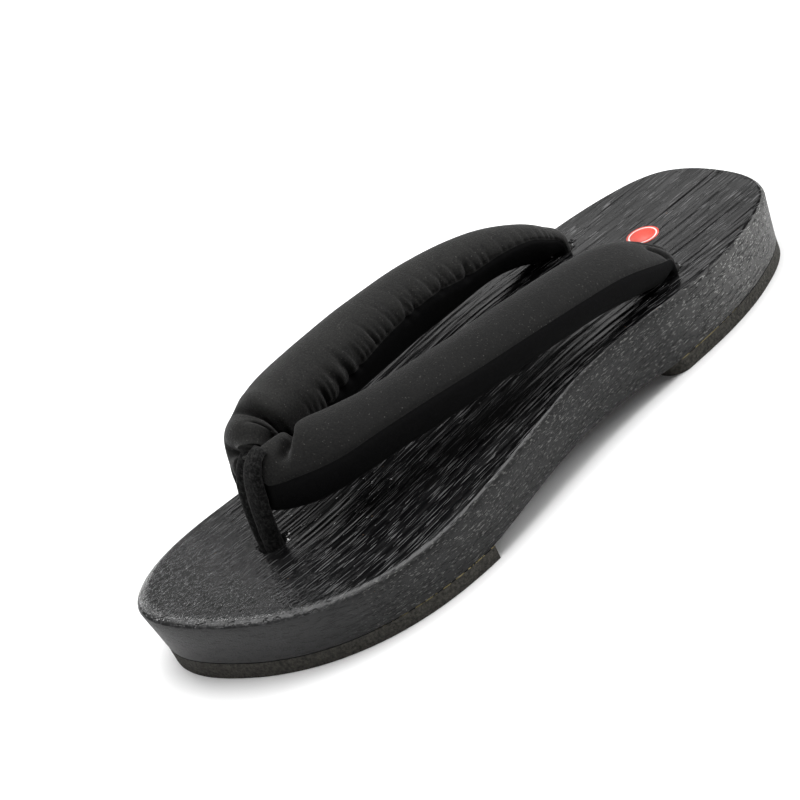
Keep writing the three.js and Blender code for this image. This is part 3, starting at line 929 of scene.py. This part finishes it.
dot_mesh = bmesh.new()
bmesh.ops.create_circle(dot_mesh, cap_ends=True, segments=DOT_SIDES, radius=DOT_RADIUS * MM)
bmesh.ops.translate(dot_mesh, verts=dot_mesh.verts[:], vec=(DOT_AT[0] * MM, DOT_AT[1] * MM, 0))
dot_face = next(iter(dot_mesh.faces))
cut_in_strips(dot_mesh, dot_face, ALONG, DOT_AT[1] - DOT_RADIUS, DOT_AT[1] + DOT_RADIUS, DOT_STRIP)
for corner in dot_mesh.verts:
    corner.co.z = (footbed(corner.co.y / MM) + DOT_LIFT) * MM
bmesh.ops.solidify(dot_mesh, geom=dot_mesh.faces[:], thickness=DOT_THICK * MM)
dot = to_object("size_dot", dot_mesh)
paper, tree, shader = new_finish("dot_paper")
centred = add_node(tree, "Mapping", {
    "Vector": add_node(tree, "TexCoord").outputs["Object"],
    "Location": (-DOT_AT[0] * MM, -DOT_AT[1] * MM, 0), "Scale": (1, 1, 0)})
reach = add_node(tree, "VectorMath", {0: centred.outputs["Vector"]}, operation="LENGTH").outputs["Value"]
past_ring = combine(tree, "SUBTRACT", reach, RING_RADIUS * MM)
off_ring = add_node(tree, "Math", {0: past_ring}, operation="ABSOLUTE").outputs[0]
on_ring = remap(tree, off_ring, RING_WIDTH * MM, RING_WIDTH * 0.5 * MM)
tree.links.new(blend_colours(tree, on_ring, DOT_RED, DOT_WHITE), shader.inputs["Base Color"])
fibres = streaks(tree, FIBRE_SIZE, 2.0, 3.0)
tree.links.new(remap(tree, fibres, 0.3, 0.7, 0.4, 0.6), shader.inputs["Roughness"])
bump = add_node(tree, "Bump", {"Height": fibres, "Strength": 0.4, "Distance": FIBRE_DEPTH * MM})
tree.links.new(bump.outputs["Normal"], shader.inputs["Normal"])
dot.data.materials.append(paper)
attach(dot, "root")


# Studio: a pale floor under the sandal, soft light from large panels, and the camera.
FLOOR_SIZE = 6.0
FLOOR_WHITE = (0.96, 0.96, 0.96, 1)
SKY_WHITE = (1, 1, 1, 1)
SKY_STRENGTH = 0.05

# Panels of light: name, place, width and height in metres, and power in watts.
PANELS = [
    ("top_panel", (-0.2, 0.15, 1.68), 1.7, 1.7, 54),
    ("back_panel", (-0.9, 0.52, 0.48), 0.8, 0.25, 0.85),
    ("left_panel", (-1.0, 0, 0.22), 0.3, 0.12, 1.6),
    ("right_panel", (0.35, 1.0, 0.45), 0.5, 0.5, 7),
    ("front_panel", (0.9, -0.9, 0.5), 0.7, 0.7, 1.5),
]

floor_mesh = bmesh.new()
bmesh.ops.create_grid(floor_mesh, x_segments=1, y_segments=1, size=FLOOR_SIZE / 2)
floor = to_object("floor", floor_mesh)
floor_paper, tree, shader = new_finish("floor_paper")
shader.inputs["Base Color"].default_value = FLOOR_WHITE
shader.inputs["Roughness"].default_value = 0.9
floor.data.materials.append(floor_paper)

for name, position, width, height, power in PANELS:
    light = bpy.data.lights.new(name, "AREA")
    light.shape = "RECTANGLE"
    light.size = width
    light.size_y = height
    light.energy = power
    lamp = bpy.data.objects.new(name, light)
    lamp.location = position
    lamp.rotation_euler = (-Vector(position)).to_track_quat("-Z", "Y").to_euler()
    bpy.context.scene.collection.objects.link(lamp)

sky = bpy.data.worlds.new("studio")
sky.use_nodes = True
sky.node_tree.nodes["Background"].inputs["Color"].default_value = SKY_WHITE
sky.node_tree.nodes["Background"].inputs["Strength"].default_value = SKY_STRENGTH
bpy.context.scene.world = sky
bpy.context.scene.view_settings.view_transform = "Standard"

CAMERA_LENS = 83.54
CAMERA_AT = Vector((0.44623, -0.23637, 0.32801))
CAMERA_RIGHT = Vector((0.58719657, 0.71381367, -0.38166769))
CAMERA_UP = Vector((-0.22260111, 0.59574156, 0.77171286))
view = bpy.data.cameras.new("view")
view.lens = CAMERA_LENS
camera = bpy.data.objects.new("view", view)
turned = Matrix((CAMERA_RIGHT, CAMERA_UP, CAMERA_RIGHT.cross(CAMERA_UP))).transposed()
camera.matrix_world = Matrix.Translation(CAMERA_AT) @ turned.to_4x4()
bpy.context.scene.collection.objects.link(camera)
bpy.context.scene.camera = camera
